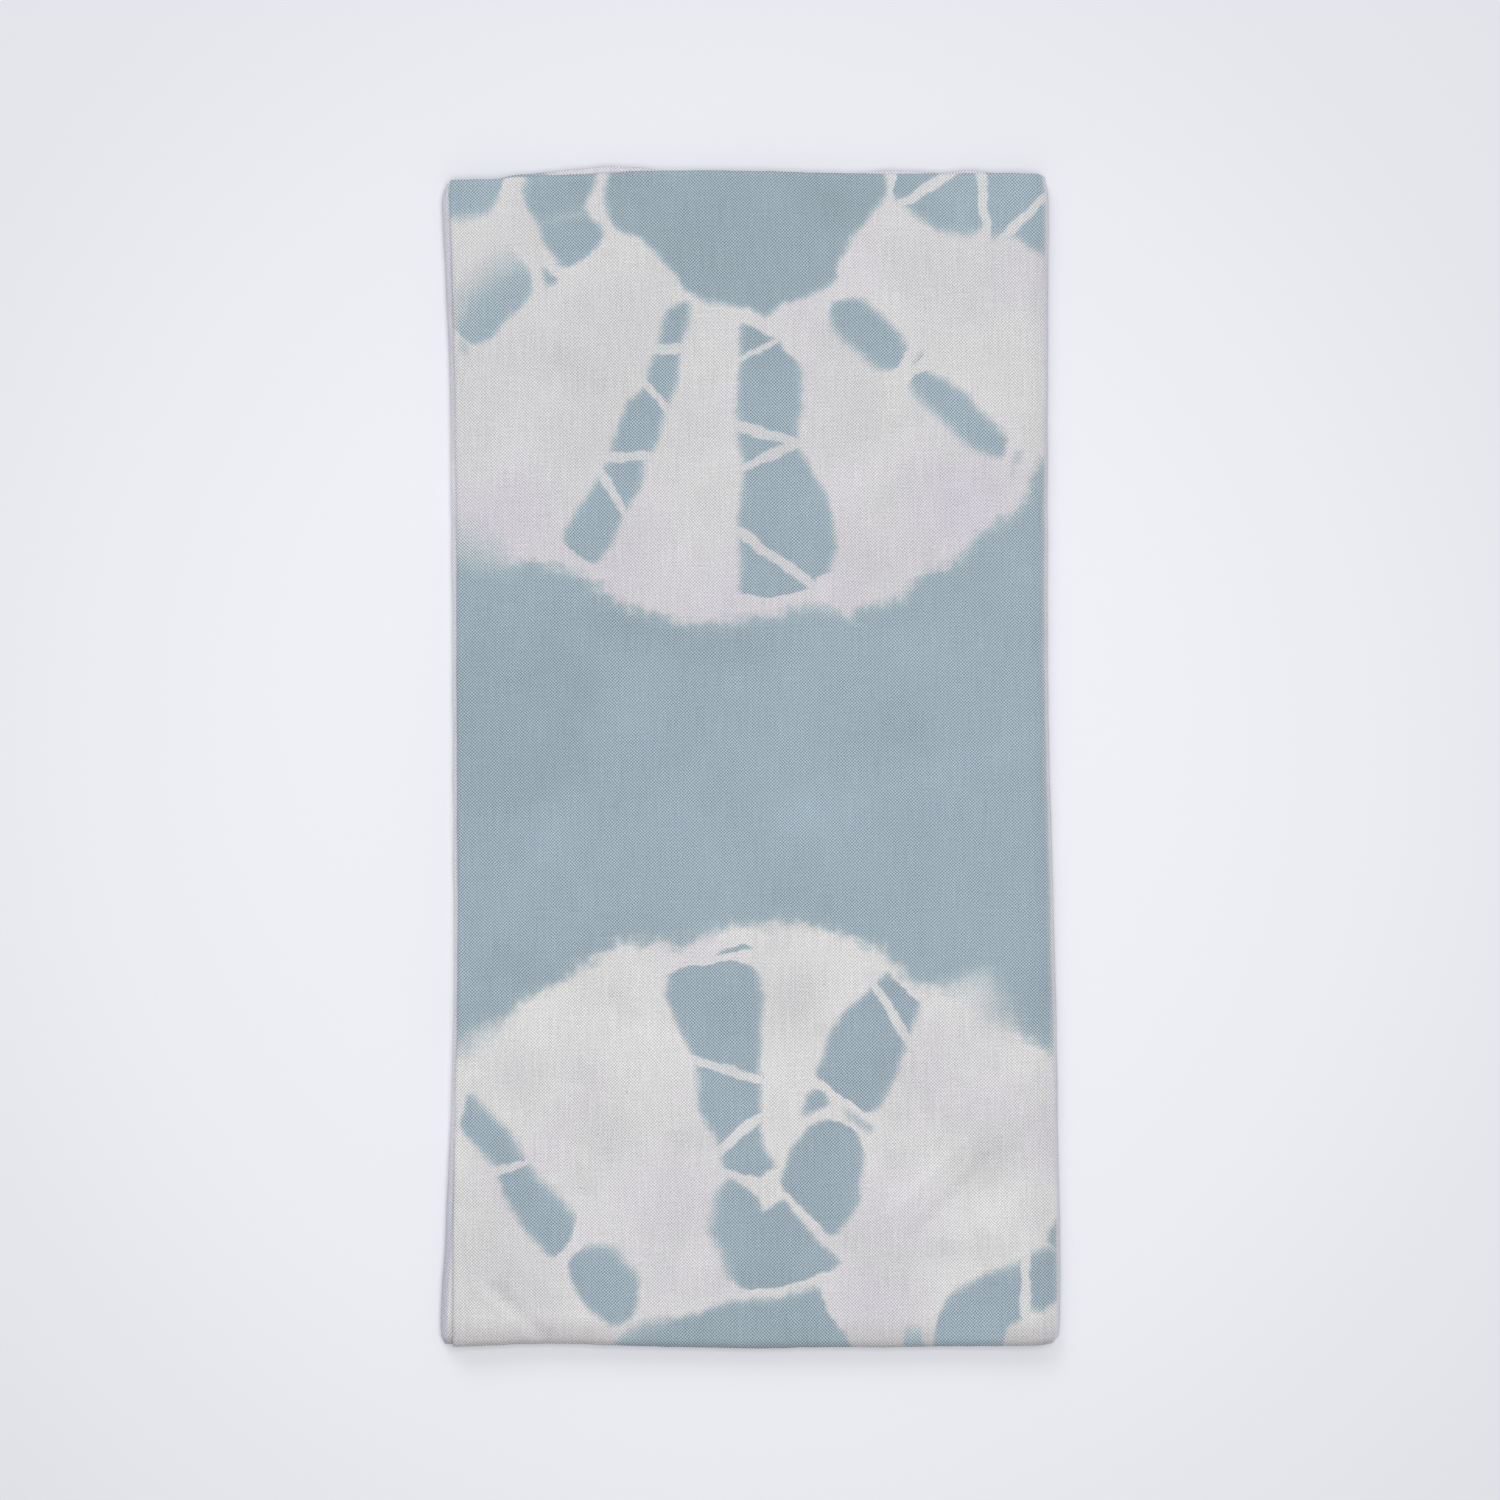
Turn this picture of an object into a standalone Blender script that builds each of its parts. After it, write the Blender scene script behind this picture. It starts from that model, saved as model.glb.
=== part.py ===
"""A hand towel of thin plain-woven cotton, folded flat and lying on a table.

The cloth is one length with woven edges on its long sides. It is folded in half along its length, so
that the two cut ends meet, and the doubled cloth is then folded in three: first the third with the cut
ends, then the third with the half-way fold over it. That makes six layers, with folds at the left and
right, and the woven edges lie at the top and bottom as the towel is seen from above.

Metres, +Z up, +Y up the towel as it is seen from above. The origin is the middle of the underside.
"""

from math import cos, hypot, pi, sin

import bmesh
import bpy

# The cloth, and the air between two of its layers
CLOTH_WIDTH = 0.330
CLOTH_LENGTH = 1.000
SHEET = 0.0010
GAP = 0.00035
PITCH = SHEET + GAP

# The folds in order along the cloth, from one cut end to the other. Reach is how far the middle of the
# sheet bulges past the end of its flat layers, and slide is how far up the towel the cloth lies there.
# side, layer before, layer after, reach, slide
FOLDS = (
    ("left", 3, 2, 0.00070, -0.0008),
    ("right", 2, 5, 0.00175, -0.0002),
    ("upper left", 5, 6, 0.00070, -0.0015),
    ("right", 6, 1, 0.00315, -0.0007),
    ("left", 1, 4, 0.00210, -0.0012),
)
FOLD_STEPS = 8
OUTER_REACH = {"left": 0.00210, "upper left": 0.00070, "right": 0.00315}

# The outermost line of the folds on each side, by height on the towel as it is seen from above
SIDES = ("left", "upper left", "right")
# height, left, upper left, right
EDGE_LINES = (
    (-0.1655, -0.0862, -0.0843, 0.0862),
    (-0.1635, -0.0874, -0.0843, 0.0873),
    (-0.1595, -0.0877, -0.0842, 0.0877),
    (-0.1400, -0.0865, -0.0842, 0.0877),
    (-0.0970, -0.0846, -0.0836, 0.0870),
    (-0.0400, -0.0843, -0.0829, 0.0860),
    (0.0150, -0.0845, -0.0833, 0.0851),
    (0.0700, -0.0846, -0.0833, 0.0846),
    (0.1100, -0.0851, -0.0838, 0.0844),
    (0.1400, -0.0866, -0.0846, 0.0845),
    (0.1580, -0.0874, -0.0852, 0.0845),
    (0.1610, -0.0869, -0.0852, 0.0841),
    (0.1635, -0.0857, -0.0850, 0.0830),
)

# How far each layer's two woven edges bow out between its folds
# layer, top, bottom
BOWS = (
    (1, 0.0012, 0.0004),
    (2, 0.0016, 0.0002),
    (3, 0.0014, 0.0003),
    (4, 0.0010, 0.0005),
    (5, 0.0033, 0.0002),
    (6, 0.0027, 0.0003),
)
RUN_STEPS = 8

COTTON = (0.36, 0.43, 0.47, 1.0)
COTTON_ROUGHNESS = 0.9


def clear_scene():
    for item in list(bpy.data.objects):
        bpy.data.objects.remove(item, do_unlink=True)


def layer_height(layer):
    return SHEET / 2 + (layer - 1) * PITCH


def edge_line(side, height):
    """The place along X of a side's outermost line, read off between two rows of its table."""
    column = 1 + SIDES.index(side)
    rows = list(zip(EDGE_LINES[:-1], EDGE_LINES[1:]))
    lower, upper = next((pair for pair in rows if height <= pair[1][0]), rows[-1])
    share = (height - lower[0]) / (upper[0] - lower[0])
    return lower[column] + (upper[column] - lower[column]) * share


def spring_line(side, height):
    """The place along X where the flat layers end and the folds of one side begin."""
    inward = -1 if side == "right" else 1
    return edge_line(side, height) + inward * (SHEET / 2 + OUTER_REACH[side])


def half_ellipse_length(across, up):
    """Length of half an ellipse, by Ramanujan's formula."""
    h = ((across - up) / (across + up)) ** 2
    return pi / 2 * (across + up) * (1 + 3 * h / (10 + (4 - 3 * h) ** 0.5))


def tucked_length():
    """Length of each cut end's own layer: half of what the other layers and the folds leave over."""
    used = 0.0
    for before, after in zip(FOLDS[:-1], FOLDS[1:]):
        used += abs(spring_line(before[0], 0.0) - spring_line(after[0], 0.0))
    for _, low, high, reach, _ in FOLDS:
        used += half_ellipse_length(reach, abs(high - low) * PITCH / 2)
    return (CLOTH_LENGTH - used) / 2


def path_point(springs, offset, z, normal, slide, layer, share):
    """One point of the sheet's middle. Its place along X is the mean of the spring lines, by their
    weights, and an offset. The share is how far along its flat layer it lies."""
    return {"springs": springs, "offset": offset, "z": z, "normal": normal, "slide": slide,
            "layer": layer, "share": share}


def flat_layer(layer, before, after, slides):
    """The inner points of one flat layer, from the fold before it to the fold after it. The two layers
    with a cut end have a fold at one end alone."""
    rightward = after == "right" or before in ("left", "upper left")
    normal = (0.0, 1.0 if rightward else -1.0)
    points = []
    for step in range(1, RUN_STEPS):
        share = step / RUN_STEPS
        if before and after:
            springs, offset = ((before, 1 - share), (after, share)), 0.0
        elif after:
            springs, offset = ((after, 1.0),), tucked_length() * (1 - share)
        else:
            springs, offset = ((before, 1.0),), tucked_length() * share
        slide = slides[0] + (slides[1] - slides[0]) * share
        points.append(path_point(springs, offset, layer_height(layer), normal, slide, layer, share))
    return points


def fold_bend(side, low, high, reach, slide):
    """The points of one fold, a half ellipse from the layer before to the layer after."""
    outward = 1 if side == "right" else -1
    middle = (layer_height(low) + layer_height(high)) / 2
    half = (layer_height(high) - layer_height(low)) / 2
    # The sheet's own upper side faces out of the bend where the cloth turns down on the right,
    # or up on the left, and into it elsewhere
    facing = 1 if outward * half < 0 else -1
    points = []
    for step in range(FOLD_STEPS + 1):
        turn = pi * step / FOLD_STEPS
        across, up = sin(turn), -cos(turn)
        nx, nz = outward * across / reach, up / half
        size = facing * hypot(nx, nz)
        layer = low if 2 * step < FOLD_STEPS else high
        share = 1.0 if layer == low else 0.0
        points.append(path_point(((side, 1.0),), outward * reach * across, middle + half * up,
                                 (nx / size, nz / size), slide, layer, share))
    return points


def cut_end(side, layer, normal, slide, share):
    """The point at a cut end, which lies its layer's length away from the fold on one side."""
    return path_point(((side, 1.0),), tucked_length(), layer_height(layer), normal, slide, layer, share)


def cloth_path():
    """The middle of the sheet from one cut end to the other."""
    side_first, layer_first, _, _, slide_first = FOLDS[0]
    side_last, _, layer_last, _, slide_last = FOLDS[-1]
    points = [cut_end(side_first, layer_first, (0.0, -1.0), slide_first, 0.0)]
    side_before, slide_before = None, slide_first
    for side, low, high, reach, slide in FOLDS:
        points += flat_layer(low, side_before, side, (slide_before, slide))
        points += fold_bend(side, low, high, reach, slide)
        side_before, slide_before = side, slide
    points += flat_layer(layer_last, side_last, None, (slide_last, slide_last))
    points.append(cut_end(side_last, layer_last, (0.0, 1.0), slide_last, 1.0))
    return points


def vertex_place(point, share_up, skin):
    """Where a point of the path lies at one share of the way up the towel, on one of the two skins."""
    _, top_bow, bottom_bow = BOWS[point["layer"] - 1]
    bow = sin(pi * point["share"])
    top = point["slide"] + CLOTH_WIDTH / 2 + top_bow * bow
    bottom = point["slide"] - CLOTH_WIDTH / 2 - bottom_bow * bow
    height = bottom + (top - bottom) * share_up
    x = point["offset"] + sum(weight * spring_line(side, height) for side, weight in point["springs"])
    nx, nz = point["normal"]
    return (x + skin * nx * SHEET / 2, height, point["z"] + skin * nz * SHEET / 2)


def add_strip(mesh, line, other):
    """A row of faces between two lines of vertices."""
    for step in range(len(line) - 1):
        mesh.faces.new((line[step], line[step + 1], other[step + 1], other[step]))


def add_towel():
    mesh = bmesh.new()
    path = cloth_path()
    lowest, highest = EDGE_LINES[0][0], EDGE_LINES[-1][0]
    skins = {}
    for skin in (1, -1):
        skins[skin] = []
        for row in EDGE_LINES:
            share_up = (row[0] - lowest) / (highest - lowest)
            skins[skin].append([mesh.verts.new(vertex_place(point, share_up, skin)) for point in path])
        for line, other in zip(skins[skin][:-1], skins[skin][1:]):
            add_strip(mesh, line, other)
    upper, under = skins[1], skins[-1]
    # The two woven edges, then the two cut ends
    for row in (0, -1):
        add_strip(mesh, upper[row], under[row])
    for column in (0, -1):
        add_strip(mesh, [line[column] for line in upper], [line[column] for line in under])
    bmesh.ops.recalc_face_normals(mesh, faces=mesh.faces)
    bmesh.ops.triangulate(mesh, faces=mesh.faces)

    # The towel's box is centred on the origin
    for axis in (0, 1):
        places = [vert.co[axis] for vert in mesh.verts]
        centre = (min(places) + max(places)) / 2
        for vert in mesh.verts:
            vert.co[axis] -= centre

    data = bpy.data.meshes.new("towel")
    mesh.to_mesh(data)
    mesh.free()
    data.shade_smooth()
    data.set_sharp_from_angle(angle=pi / 3)
    towel = bpy.data.objects.new("towel", data)
    bpy.context.scene.collection.objects.link(towel)
    data.materials.append(dyed_cotton())


def dyed_cotton():
    material = bpy.data.materials.new("dyed_cotton")
    material.use_nodes = True
    shader = material.node_tree.nodes["Principled BSDF"]
    shader.inputs["Base Color"].default_value = COTTON
    shader.inputs["Roughness"].default_value = COTTON_ROUGHNESS
    shader.inputs["Metallic"].default_value = 0.0
    return material


clear_scene()
add_towel()
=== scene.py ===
"""A folded tie-dyed cotton hand towel, seen from straight above on a pale table."""

from math import cos, pi, radians, sin

import bmesh
import bpy
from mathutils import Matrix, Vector, noise


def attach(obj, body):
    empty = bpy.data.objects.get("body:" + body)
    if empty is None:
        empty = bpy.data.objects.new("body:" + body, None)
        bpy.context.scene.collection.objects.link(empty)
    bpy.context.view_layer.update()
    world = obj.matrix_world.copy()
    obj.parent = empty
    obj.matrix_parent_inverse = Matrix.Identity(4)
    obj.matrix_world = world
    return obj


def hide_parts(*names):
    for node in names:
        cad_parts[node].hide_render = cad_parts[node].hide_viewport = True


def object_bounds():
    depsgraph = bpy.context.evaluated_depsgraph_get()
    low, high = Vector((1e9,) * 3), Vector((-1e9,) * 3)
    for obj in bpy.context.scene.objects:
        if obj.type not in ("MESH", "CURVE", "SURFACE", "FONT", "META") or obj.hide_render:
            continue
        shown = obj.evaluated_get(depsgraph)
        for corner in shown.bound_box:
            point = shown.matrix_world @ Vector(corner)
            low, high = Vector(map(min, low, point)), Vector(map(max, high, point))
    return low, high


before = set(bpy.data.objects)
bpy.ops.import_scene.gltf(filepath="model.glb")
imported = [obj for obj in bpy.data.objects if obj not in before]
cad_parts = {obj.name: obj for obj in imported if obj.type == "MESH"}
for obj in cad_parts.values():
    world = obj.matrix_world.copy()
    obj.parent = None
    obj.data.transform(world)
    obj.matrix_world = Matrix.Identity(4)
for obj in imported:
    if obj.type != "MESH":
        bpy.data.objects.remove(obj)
cad_low, cad_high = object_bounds()

# The camera looks straight down at the middle of the folded towel, with the top of the towel up in the
# picture. The picture is square, and its side is 424 mm long at the top of the cloth.
PICTURE_SIDE = 0.4237
LENS_HEIGHT = 1.50
SENSOR = 36.0
PICTURE_MIDDLE = (0.0, 0.0020)

camera_data = bpy.data.cameras.new("camera")
camera = bpy.data.objects.new("camera", camera_data)
bpy.context.scene.collection.objects.link(camera)
bpy.context.scene.camera = camera
camera_data.sensor_width = SENSOR
camera_data.lens = SENSOR * (LENS_HEIGHT - cad_high.z) / PICTURE_SIDE
camera_data.clip_start = 0.01
camera.location = (*PICTURE_MIDDLE, LENS_HEIGHT)


# The towel: one length of thin plain-woven cotton, 1.00 m long and 0.33 m wide, with woven edges on its
# long sides and plain cut ends. It is folded in half along its length, so that the cut ends meet, and
# then in three, which makes six layers with rolled folds at the left and right.
CLOTH_WIDTH = 0.330
CLOTH_LENGTH = 1.000
COTTON_THICKNESS = 0.00045
LOWEST_LAYER = 0.0003
FOLD_PITCH = 0.00138
MIDDLE_PITCH = 0.00118
SOLID_SHEET = 0.0010

# The folds in order along the cloth: side, layer before, layer after, reach, slide up the towel
FOLDS = (
    ("left", 3, 2, 0.00070, -0.0008),
    ("right", 2, 5, 0.00175, -0.0002),
    ("upper left", 5, 6, 0.00120, -0.0015),
    ("right", 6, 1, 0.00315, -0.0007),
    ("left", 1, 4, 0.00210, -0.0012),
)
FOLD_STEPS = 10
# The two outer folds took little dye, and their colour also carries painted light and shade: how far round
# the bend the bare cloth begins, and is fully bare
BARE_FOLDS_WITH_PAINTED_LIGHT = {FOLDS[3]: (0.53, 0.73), FOLDS[4]: (0.0, 0.3)}
OUTER_REACH = {"left": 0.00210, "upper left": 0.00120, "right": 0.00315}

# The outermost line of the folds on each side, by height on the towel as it is seen from above
SIDES = ("left", "upper left", "right")
# height, left, upper left, right
EDGE_LINES = (
    (-0.1655, -0.0872, -0.0843, 0.0865),
    (-0.1640, -0.0879, -0.0843, 0.0879),
    (-0.1595, -0.0880, -0.0842, 0.0882),
    (-0.1400, -0.0868, -0.0842, 0.0881),
    (-0.0970, -0.0848, -0.0836, 0.0874),
    (-0.0600, -0.0840, -0.0829, 0.0868),
    (-0.0400, -0.0842, -0.0829, 0.0861),
    (0.0150, -0.0845, -0.0833, 0.0847),
    (0.0400, -0.0846, -0.0833, 0.0845),
    (0.0700, -0.0849, -0.0833, 0.0846),
    (0.1100, -0.0853, -0.0838, 0.0846),
    (0.1400, -0.0868, -0.0846, 0.0847),
    (0.1580, -0.0876, -0.0852, 0.0848),
    (0.1610, -0.0873, -0.0852, 0.0847),
    (0.1635, -0.0862, -0.0850, 0.0841),
)

# How far each layer's woven edges bow out between its folds, in order from the lowest layer
# top, bottom
BOWS = ((0.0012, 0.0004), (0.0016, 0.0002), (0.0014, 0.0003), (0.0010, 0.0005), (0.0026, 0.0002),
        (0.0027, 0.0003))
TOP_LAYER = 6

# Where the woven edges of the two upper layers lie in the end. The layer under the top one shows past the
# top layer in a few places. Millimetres across and up the towel.
PEEPING_LAYER = 5
# across, top layer's bottom, top layer's top, next layer's top
UPPER_EDGES = (
    (-84, -166.6, 163.1, 162.8),
    (-74, -166.3, 163.3, 163.1),
    (-65, -165.9, 164.0, 164.8),
    (-57, -165.8, 164.4, 165.5),
    (-48, -165.9, 164.7, 166.3),
    (-40, -166.3, 165.2, 167.2),
    (-31, -166.5, 165.7, 166.8),
    (-22, -166.8, 165.8, 165.7),
    (-12, -166.9, 165.9, 165.2),
    (3, -167.2, 165.7, 164.9),
    (20, -166.8, 165.2, 164.7),
    (30, -166.8, 165.0, 165.1),
    (38, -166.8, 164.9, 165.9),
    (46, -166.7, 164.9, 165.9),
    (54, -166.6, 165.0, 165.3),
    (62, -166.5, 165.0, 166.0),
    (70, -166.4, 165.1, 165.2),
    (80, -166.3, 164.9, 164.2),
    (86, -165.8, 164.0, 163.8),
)

# The columns of faces along each layer, finest on the layers that show, and the rows up the towel
HIDDEN_COLUMNS = 18
SHOWN_COLUMNS = {PEEPING_LAYER: 80, TOP_LAYER: 140}
ROWS = 134

# Soft creases in the top layer, a ridge where the depth is below 0: from x, y to x, y, width and depth, in
# millimetres. The depth also paints shade into the cloth, darker in a trough and paler on a ridge, and
# the two long ones by the sides paint shade along the folds' edges.
CREASES = (
    (70, -110, 45, -135, 6, 0.50),
    (61, -107, 40, -128, 6, -0.40),
    (82, -100, 66, -121, 7, 0.25),
    (-62, 118, -30, 96, 16, 0.22),
    (-74, 42, 6, 30, 22, 0.25),
    (14, 70, 62, 96, 18, -0.20),
    (-70, -60, -8, -74, 20, 0.22),
    (10, -20, 76, 4, 26, -0.25),
    (-40, 10, -66, -40, 18, -0.20),
    (30, -90, 78, -70, 20, 0.20),
    (-20, -150, 40, -146, 14, 0.18),
    (85, -168, 84, 168, 14, 0.45),
    (-86, 30, -87, 168, 14, 0.35),
    (-77, -149, -60, -165, 5, -0.55),
    (-72, -149, -57, -163, 5, 0.60),
    (-64, -143, -46, -158, 8, -0.30),
    (-54, -152, -40, -160, 7, 0.30),
    (-80, -44, -60, -66, 12, 0.25),
)
# How much of the table's edges a layer or a fold takes, where it begins and where it ends
ON_TABLE = {TOP_LAYER: (1, 1), PEEPING_LAYER: (1, 1), FOLDS[1]: (0, 1), FOLDS[2]: (1, 1), FOLDS[3]: (1, 0)}
# How far behind the upper layers' edges the lower layers stay
TUCKED_BACK = 0.0005

# The cloth's own unevenness: how far it strays, and how long a stray is
FOLD_WAVE = (0.00018, 0.012)
LAYER_WAVE = (0.00026, 0.045)
LAYER_RIPPLE = (0.00007, 0.016)
EDGE_STRAY = (0.0005, 0.020)
EDGE_FLUTTER = (0.00012, 0.004)
# The table keeps the lower layers flat: the layers between which the cloth comes to move freely
FREE_LAYERS = (0.5, 4.0)
# How far from the middle the layers begin to lie closer, and over what distance
CLOSER_INSIDE = 0.083
CLOSER_OVER = 0.030
# How far up and down the folds' outermost lines are averaged: at the woven edges, how much more inside
# them, and the distance over which that grows
SMOOTHED = 0.0006
SMOOTHED_INSIDE = 0.010
SMOOTHED_OVER = 0.03
# The share of the towel's height by each woven edge that the edge's own shape reaches
EDGE_BAND = 0.05
# How much closer together the rows lie near the woven edges
ROW_BUNCHING = 0.035


def smooth_share(value, start, end):
    """How far a value has come from start to end, from 0 to 1, with a soft beginning and end."""
    share = min(max((value - start) / (end - start), 0.0), 1.0)
    return share * share * (3 - 2 * share)


def table_line(side, height):
    column = 1 + SIDES.index(side)
    rows = list(zip(EDGE_LINES[:-1], EDGE_LINES[1:]))
    lower, upper = next((pair for pair in rows if height <= pair[1][0]), rows[-1])
    share = (height - lower[0]) / (upper[0] - lower[0])
    return lower[column] + (upper[column] - lower[column]) * share


def edge_line(side, height):
    """The table's line, drawn through as one soft curve with a little of the cloth's own waviness."""
    inside = smooth_share(CLOTH_WIDTH / 2 - abs(height), 0.0, SMOOTHED_OVER)
    window = SMOOTHED + SMOOTHED_INSIDE * inside
    places = [table_line(side, height + window * step / 3) for step in (-3, -2, -1, 0, 1, 2, 3)]
    amount, size = FOLD_WAVE
    wave = noise.noise(Vector((height / size, SIDES.index(side) * 7.3, 0.0)))
    return sum(places) / len(places) + amount * wave


def upper_edge(column, x):
    """The place up the towel of one woven edge of the two upper layers, from its column of their table."""
    across = 1000 * x
    rows = list(zip(UPPER_EDGES[:-1], UPPER_EDGES[1:]))
    one, two = next((pair for pair in rows if across <= pair[1][0]), rows[-1])
    share = smooth_share(across, one[0], two[0])
    return (one[column] + (two[column] - one[column]) * share) / 1000


def spring_line(side, height):
    """The place along X where the flat layers end and the folds of one side begin."""
    inward = -1 if side == "right" else 1
    return edge_line(side, height) + inward * (SOLID_SHEET / 2 + OUTER_REACH[side])


def layer_height(layer, x, y):
    """The height of a layer's middle. The folds hold the layers apart, and they lie closer between."""
    inside = smooth_share(CLOSER_INSIDE - abs(x), 0.0, CLOSER_OVER)
    pitch = FOLD_PITCH + (MIDDLE_PITCH - FOLD_PITCH) * inside
    wave = noise.noise(Vector((x / LAYER_WAVE[1], y / LAYER_WAVE[1], layer * 3.7)))
    ripple = noise.noise(Vector((x / LAYER_RIPPLE[1], y / LAYER_RIPPLE[1], layer * 5.1)))
    free = smooth_share(layer, *FREE_LAYERS)
    lift = (LAYER_WAVE[0] * wave + LAYER_RIPPLE[0] * ripple) * free * inside
    return LOWEST_LAYER + (layer - 1) * pitch + lift


def crease_depth(x, y):
    """How far the top layer sinks at a place, from all its soft creases."""
    depth = 0.0
    for x0, y0, x1, y1, width, deep in CREASES:
        along = Vector(((x1 - x0) / 1000, (y1 - y0) / 1000))
        place = Vector((x - x0 / 1000, y - y0 / 1000))
        share = place.dot(along) / along.length_squared
        across = (place - along * min(max(share, 0.0), 1.0)).length / (width / 2000)
        depth += deep / 1000 * smooth_share(1.0 - across, 0.0, 1.0)
    return depth


def column_places():
    """The columns of the sheet from one cut end to the other. Each holds its fold or layer, its share of
    the way along it, and the folds at both of its ends."""
    columns = []
    before = None
    for fold in FOLDS + (None,):
        layer = fold[1] if fold else before[2]
        count = SHOWN_COLUMNS.get(layer, HIDDEN_COLUMNS)
        first = 0 if before is None else 1
        last = count + 1 if fold is None else count
        columns += [("layer", layer, step / count, before, fold) for step in range(first, last)]
        if fold:
            columns += [("fold", layer, step / FOLD_STEPS, fold, fold) for step in range(FOLD_STEPS + 1)]
        before = fold
    return columns


def sheet_point(column, share_up, tucked):
    """Where the middle of the sheet lies in one column, at a share of the way up the towel."""
    kind, layer, share, before, after = column
    slide_before = (before or after)[4]
    slide_after = (after or before)[4]
    slide = slide_before + (slide_after - slide_before) * share if kind == "layer" else before[4]
    shown = layer if kind == "layer" else (before[1] if share < 0.5 else before[2])
    bow = sin(pi * share) if kind == "layer" else 0.0
    top_bow, bottom_bow = BOWS[shown - 1]
    top = slide + CLOTH_WIDTH / 2 + top_bow * bow
    bottom = slide - CLOTH_WIDTH / 2 - bottom_bow * bow
    y = bottom + (top - bottom) * share_up
    if kind == "layer":
        if before and after:
            start, end = spring_line(before[0], y), spring_line(after[0], y)
        elif after:
            end = spring_line(after[0], y)
            start = end + tucked
        else:
            start = spring_line(before[0], y)
            end = start + tucked
        x = start + (end - start) * share
        z = layer_height(layer, x, y)
        if layer == TOP_LAYER:
            z -= crease_depth(x, y)
    else:
        side, low, high, reach, _ = before
        outward = 1 if side == "right" else -1
        spring = spring_line(side, y)
        turn = pi * share
        first, last = layer_height(low, spring, y), layer_height(high, spring, y)
        if low == TOP_LAYER:
            first -= crease_depth(spring, y)
        elif high == TOP_LAYER:
            last -= crease_depth(spring, y)
        x = spring + outward * reach * sin(turn)
        z = (first + last) / 2 - (last - first) / 2 * cos(turn)
    # The woven edges wander a little, and the cloth inside them doesn't. On the upper layers they follow
    # their table, and no lower layer shows past them.
    start_share, end_share = ON_TABLE.get(before, (0, 0)) if kind == "fold" else ON_TABLE.get(layer, (0, 0))
    on_table = start_share + (end_share - start_share) * smooth_share(share, 0.0, 1.0)
    wander = EDGE_STRAY[0] * noise.noise(Vector((x / EDGE_STRAY[1], shown * 4.1, share_up * 9.0)))
    if share_up > 0.5:
        shift = min(wander, upper_edge(3, x) - TUCKED_BACK - top)
        shift += on_table * (upper_edge(2 if shown == TOP_LAYER else 3, x) - top - shift)
    else:
        shift = max(wander, upper_edge(1, x) + TUCKED_BACK - bottom)
        shift += on_table * (shown == TOP_LAYER) * (upper_edge(1, x) - bottom - shift)
    edge = 1 - smooth_share(min(share_up, 1 - share_up), 0.0, EDGE_BAND)
    flutter = noise.noise(Vector((x / EDGE_FLUTTER[1], shown * 2.3, share_up * 9.0)))
    return Vector((x, y + edge * (shift + EDGE_FLUTTER[0] * flutter), z))


def row_share(row):
    """The share of the way up the towel of one row of vertices, closer together near the woven edges."""
    even = row / ROWS
    return even - ROW_BUNCHING * sin(2 * pi * even)


def cloth_row(columns, share_up, tucked):
    """One row of the sheet's points, and how far along the cloth each lies from the row's crossing of the
    middle of the top layer."""
    points = [sheet_point(column, share_up, tucked) for column in columns]
    lengths = [0.0]
    middle = 0.0
    for i, (one, two) in enumerate(zip(points[:-1], points[1:])):
        step = (two - one).length
        if columns[i][:2] == ("layer", TOP_LAYER) and one.x <= 0 < two.x:
            middle = lengths[-1] + step * one.x / (one.x - two.x)
        lengths.append(lengths[-1] + step)
    return points, [length - middle for length in lengths]


columns = column_places()
# Each cut end's own layer takes half of the length that the other layers and the folds leave over
TUCKED_TRIAL = 0.15
trial = cloth_row(columns, 0.5, TUCKED_TRIAL)[1]
tucked = TUCKED_TRIAL + (CLOTH_LENGTH - trial[-1] + trial[0]) / 2

mesh = bmesh.new()
cloth_map = mesh.loops.layers.uv.new("cloth")
bare_fold_light_layer = mesh.verts.layers.float.new("bare_fold_with_painted_light")
crease_shade_layer = mesh.verts.layers.float.new("crease_shade")
rows = []
for row in range(ROWS + 1):
    points, lengths = cloth_row(columns, row_share(row), tucked)
    line = []
    for column, point, length in zip(columns, points, lengths):
        corner = mesh.verts.new(point)
        # The outer folds' bare share, which also carries their painted light and shade
        if column[0] == "fold" and column[3] in BARE_FOLDS_WITH_PAINTED_LIGHT:
            corner[bare_fold_light_layer] = smooth_share(sin(pi * column[2]), *BARE_FOLDS_WITH_PAINTED_LIGHT[column[3]])
        # The top layer keeps its crease depth for the painted shade of its creases
        if column[:2] == ("layer", TOP_LAYER):
            corner[crease_shade_layer] = 1000 * crease_depth(point.x, point.y)
        elif column[0] == "fold" and column[1] == TOP_LAYER:
            corner[crease_shade_layer] = 1000 * crease_depth(point.x, point.y) * (1 - smooth_share(column[2], 0.0, 0.25))
        line.append((corner, (length, row_share(row) * CLOTH_WIDTH)))
    rows.append(line)
for low_row, high_row in zip(rows[:-1], rows[1:]):
    for i in range(len(columns) - 1):
        corners = (low_row[i], low_row[i + 1], high_row[i + 1], high_row[i])
        face = mesh.faces.new([corner for corner, _ in corners])
        for loop, (_, cloth_place) in zip(face.loops, corners):
            loop[cloth_map].uv = cloth_place
cloth = bpy.data.meshes.new("towel_cloth")
mesh.to_mesh(cloth)
mesh.free()
cloth.shade_smooth()
towel = bpy.data.objects.new("towel_cloth", cloth)
bpy.context.scene.collection.objects.link(towel)

bpy.ops.object.select_all(action="DESELECT")
towel.select_set(True)
bpy.context.view_layer.objects.active = towel
bpy.ops.object.modifier_add(type="SOLIDIFY")
towel.modifiers["Solidify"].thickness = COTTON_THICKNESS
towel.modifiers["Solidify"].offset = 0.0
bpy.ops.object.modifier_apply(modifier="Solidify")
towel.select_set(False)

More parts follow.
